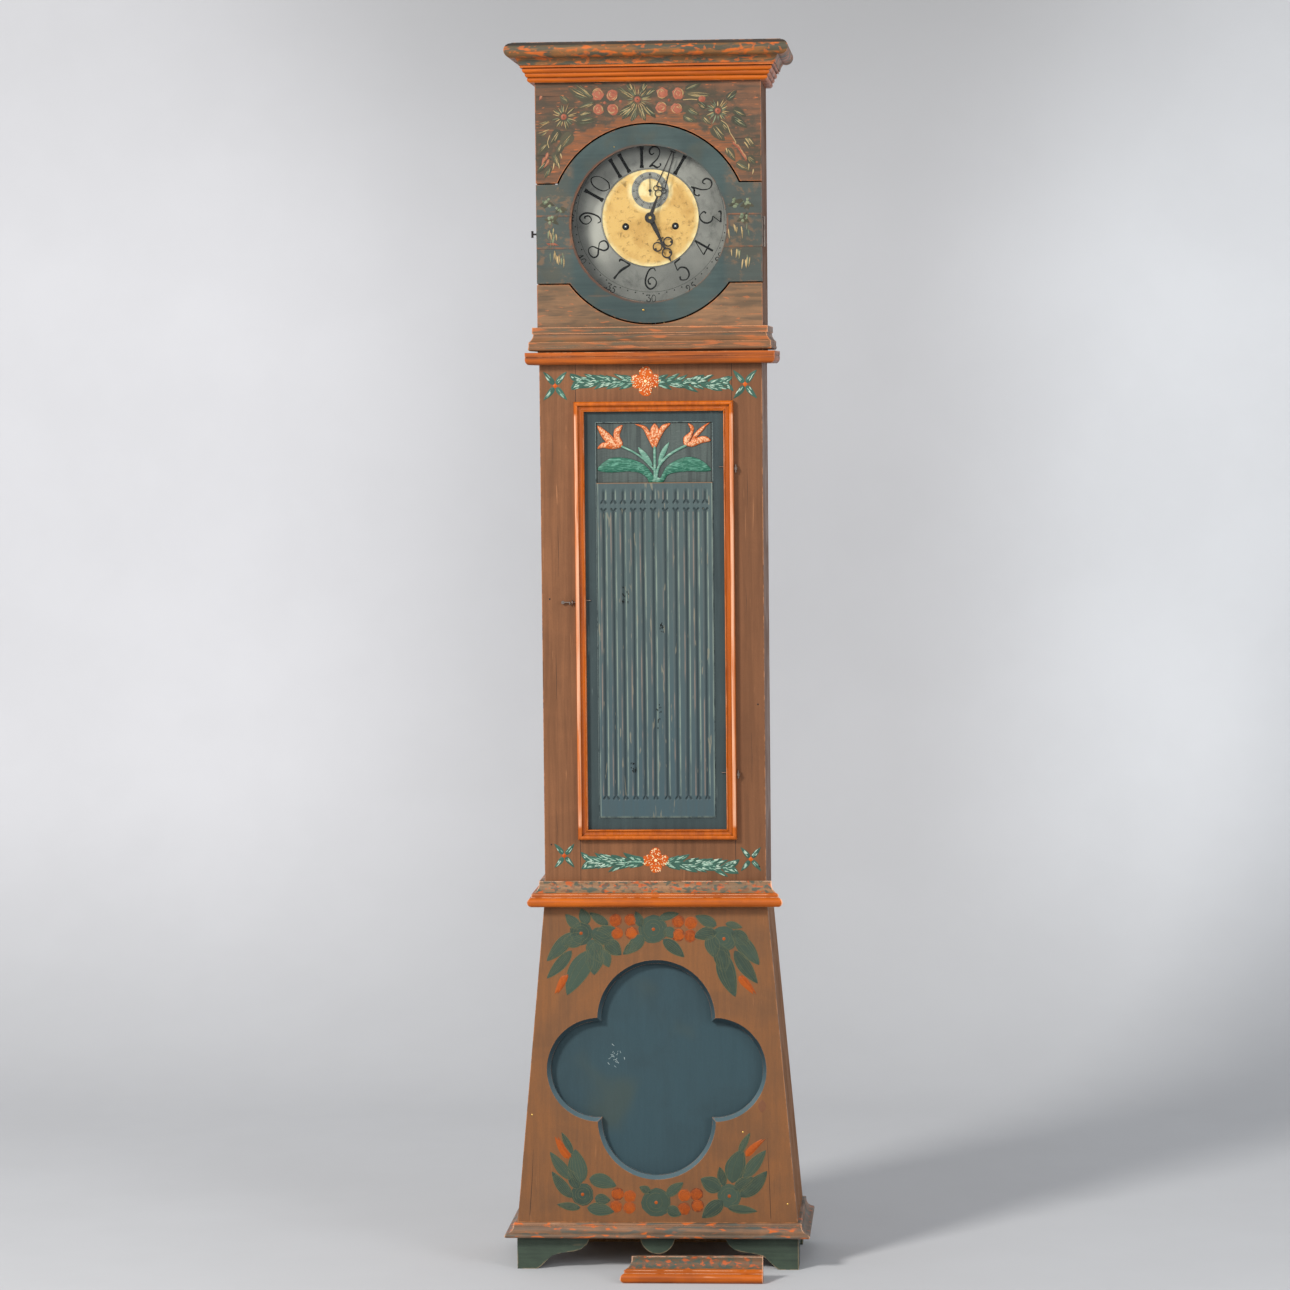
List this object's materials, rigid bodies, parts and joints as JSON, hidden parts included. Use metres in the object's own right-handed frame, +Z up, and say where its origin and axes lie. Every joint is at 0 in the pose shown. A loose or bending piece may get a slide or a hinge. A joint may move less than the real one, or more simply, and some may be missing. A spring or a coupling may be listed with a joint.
{
  "type": "longcase clock",
  "caption": "Painted longcase clock: square hood with round glazed door, slim trunk with carved door, flared base with quatrefoil, striking movement, pendulum and weights.",
  "frame": {"origin": "on the floor at the middle of the back, where the back board stands against the wall", "axes": "+Z up, the front faces -Y, the back lies in the wall plane y = 0, +X to the viewer's right"},
  "size_m": [0.546, 0.382, 2.183],
  "materials": {
    "brown_paint": "worn painted brown grain",
    "base_paint": "worn orange-brown paint",
    "slate_paint": "worn blue-grey paint",
    "carving_paint": "painted relief, pink, yellow and green",
    "orange_paint": "worn orange paint",
    "speckled_paint": "dark green and orange speckle",
    "green_paint": "worn blue-green paint",
    "bare_pine": "bare aged pine",
    "dark_iron": "blackened iron",
    "clear_glass": "clear window glass",
    "brass_plate": "aged brass",
    "pewter": "grey pewter",
    "steel": "steel",
    "lead": "cast weight",
    "gut_line": "gut line"
  },
  "bodies": {
    "case": {"back_boards": "bare_pine", "base_front_board": "base_paint", "quatrefoil_panel": "slate_paint", "base_sides": "base_paint", "base_shelves": "bare_pine", "bracket_feet": "green_paint", "base_moulding": "speckled_paint", "waist_moulding": "orange_paint", "trunk_sides": "brown_paint", "trunk_front_frame": "brown_paint", "trunk_top_moulding": "orange_paint", "seat_board": "bare_pine", "glue_blocks": "bare_pine", "door_hinge_staples": "dark_iron", "dial_plate": "brass_plate", "chapter_rings": "pewter", "movement_plates": "brass_plate", "bell": "brass_plate", "going_line": "gut_line", "strike_line": "gut_line"},
    "trunk_door": {"door_board": "slate_paint", "tulip_carving": "carving_paint", "fluted_panel": "slate_paint", "door_moulding": "orange_paint", "door_hinge_eyes": "dark_iron"},
    "latch": {"latch_hook": "dark_iron"},
    "hood": {"hood_carcase": "brown_paint", "hood_front_boards": "brown_paint", "cornice_crown": "speckled_paint", "cornice_bed": "orange_paint", "hood_base_moulding": "speckled_paint", "hood_hinge_fixed_leaf": "dark_iron"},
    "hood_door": {"hood_door_boards": "slate_paint", "hood_glass": "clear_glass", "hood_hinge_door_leaf": "dark_iron", "hood_door_knob": "dark_iron"},
    "minute_arbor": {"centre_arbor": "brass_plate", "minute_hand": "dark_iron"},
    "hour_pipe": {"hour_wheel": "brass_plate", "hour_hand": "dark_iron"},
    "motion_arbor": {"minute_wheel": "brass_plate"},
    "third_arbor": {"third_wheel": "brass_plate"},
    "escape_arbor": {"escape_wheel": "brass_plate", "seconds_hand": "dark_iron"},
    "going_great": {"going_great_wheel": "brass_plate"},
    "going_drum": {"going_barrel": "brass_plate"},
    "pendulum": {"anchor_and_crutch": "steel", "pendulum_rod": "steel", "pendulum_bob": "brass_plate"},
    "going_weight_body": {"going_weight": "lead"},
    "going_pulley_body": {"going_pulley": "brass_plate"},
    "strike_great": {"strike_great_wheel": "brass_plate"},
    "strike_drum": {"strike_barrel": "brass_plate"},
    "strike_weight_body": {"strike_weight": "lead"},
    "strike_pulley_body": {"strike_pulley": "brass_plate"},
    "pin_arbor": {"pin_wheel": "brass_plate"},
    "gathering_arbor": {"gathering_wheel": "brass_plate"},
    "fly_arbor": {"fly": "brass_plate"},
    "hammer_arbor": {"hammer": "steel"},
    "loose_return": {"loose_moulding": "orange_paint"}
  },
  "joints": [
    {"name": "trunk_door_hinge", "type": "hinge", "parent": "case", "child": "trunk_door", "pos_m": [0.1504, -0.229, 1.15], "axis": [0, 0, 1], "range_deg": [0, 115]},
    {"name": "latch_pivot", "type": "hinge", "parent": "case", "child": "latch", "pos_m": [-0.16, -0.227, 1.194], "axis": [0, -1, 0], "range_deg": [0, 110]},
    {"name": "hood_slide", "type": "slide", "parent": "case", "child": "hood", "axis": [0, -1, 0], "range_m": [0, 0.3]},
    {"name": "hood_door_hinge", "type": "hinge", "parent": "hood", "child": "hood_door", "pos_m": [0.203, -0.206, 1.849], "axis": [0, 0, 1], "range_deg": [0, 110]},
    {"name": "minute_hand_spin", "type": "hinge", "parent": "case", "child": "minute_arbor", "pos_m": [0, -0.14, 1.876], "axis": [0, 1, 0], "continuous": true},
    {"name": "hour_hand_spin", "type": "hinge", "parent": "case", "child": "hour_pipe", "pos_m": [0, -0.14, 1.876], "axis": [0, 1, 0], "continuous": true},
    {"name": "motion_wheel_spin", "type": "hinge", "parent": "case", "child": "motion_arbor", "pos_m": [-0.01838, -0.14, 1.85762], "axis": [0, 1, 0], "continuous": true},
    {"name": "third_wheel_spin", "type": "hinge", "parent": "case", "child": "third_arbor", "pos_m": [0.01205, -0.14, 1.90227], "axis": [0, 1, 0], "continuous": true},
    {"name": "seconds_hand_spin", "type": "hinge", "parent": "case", "child": "escape_arbor", "pos_m": [0, -0.14, 1.9244], "axis": [0, 1, 0], "continuous": true},
    {"name": "going_great_wheel_spin", "type": "hinge", "parent": "case", "child": "going_great", "pos_m": [0.04433, -0.14, 1.861], "axis": [0, 1, 0], "continuous": true},
    {"name": "pendulum_swing", "type": "hinge", "parent": "case", "child": "pendulum", "pos_m": [0, -0.078, 1.95268], "axis": [0, 1, 0], "range_deg": [-2.5, 2.5]},
    {"name": "going_weight_slide", "type": "slide", "parent": "case", "child": "going_weight_body", "axis": [0, 0, 1], "range_m": [0, 1], "deforming": ["going_line"]},
    {"name": "going_drum_spin", "type": "hinge", "parent": "case", "child": "going_drum", "pos_m": [0.04433, -0.14, 1.861], "axis": [0, 1, 0], "range_deg": [0, 4700]},
    {"name": "going_pulley_spin", "type": "hinge", "parent": "going_weight_body", "child": "going_pulley_body", "pos_m": [0.03913, -0.12675, 0.482], "axis": [0, 1, 0], "range_deg": [0, 2900]},
    {"name": "strike_weight_slide", "type": "slide", "parent": "case", "child": "strike_weight_body", "axis": [0, 0, 1], "range_m": [0, 1], "deforming": ["strike_line"]},
    {"name": "strike_drum_spin", "type": "hinge", "parent": "case", "child": "strike_drum", "pos_m": [-0.04433, -0.14, 1.861], "axis": [0, 1, 0], "range_deg": [0, 4700]},
    {"name": "strike_pulley_spin", "type": "hinge", "parent": "strike_weight_body", "child": "strike_pulley_body", "pos_m": [-0.08953, -0.12675, 0.482], "axis": [0, 1, 0], "range_deg": [-2900, 0]},
    {"name": "pin_wheel_spin", "type": "hinge", "parent": "case", "child": "pin_arbor", "pos_m": [-0.03761, -0.14, 1.89911], "axis": [0, 1, 0], "continuous": true},
    {"name": "strike_great_wheel_spin", "type": "hinge", "parent": "case", "child": "strike_great", "pos_m": [-0.04433, -0.14, 1.861], "axis": [0, 1, 0], "continuous": true},
    {"name": "gathering_wheel_spin", "type": "hinge", "parent": "case", "child": "gathering_arbor", "pos_m": [-0.04623, -0.14, 1.92279], "axis": [0, 1, 0], "continuous": true},
    {"name": "fly_spin", "type": "hinge", "parent": "case", "child": "fly_arbor", "pos_m": [-0.04975, -0.14, 1.94274], "axis": [0, 1, 0], "continuous": true},
    {"name": "hammer_lift", "type": "hinge", "parent": "case", "child": "hammer_arbor", "pos_m": [-0.072, -0.14, 1.916], "axis": [0, -1, 0], "range_deg": [0, 12]},
    {"name": "loose_moulding_slide", "type": "slide", "parent": "case", "child": "loose_return", "axis": [0, -1, 0], "range_m": [0, 0.15]}
  ],
  "couplings": [
    {"joint": "hour_hand_spin", "follows": "minute_hand_spin", "ratio": 0.083333},
    {"joint": "motion_wheel_spin", "follows": "minute_hand_spin", "ratio": -1},
    {"joint": "third_wheel_spin", "follows": "minute_hand_spin", "ratio": -7.5},
    {"joint": "seconds_hand_spin", "follows": "minute_hand_spin", "ratio": 60},
    {"joint": "going_great_wheel_spin", "follows": "minute_hand_spin", "ratio": -0.083333},
    {"joint": "going_drum_spin", "follows": "going_weight_slide", "rad_per_m": 80.321},
    {"joint": "going_pulley_spin", "follows": "going_weight_slide", "rad_per_m": 50},
    {"joint": "strike_drum_spin", "follows": "strike_weight_slide", "rad_per_m": 80.321},
    {"joint": "strike_pulley_spin", "follows": "strike_weight_slide", "rad_per_m": -50},
    {"joint": "strike_great_wheel_spin", "follows": "pin_wheel_spin", "ratio": -0.10256},
    {"joint": "gathering_wheel_spin", "follows": "pin_wheel_spin", "ratio": -8},
    {"joint": "fly_spin", "follows": "pin_wheel_spin", "ratio": 64}
  ]
}
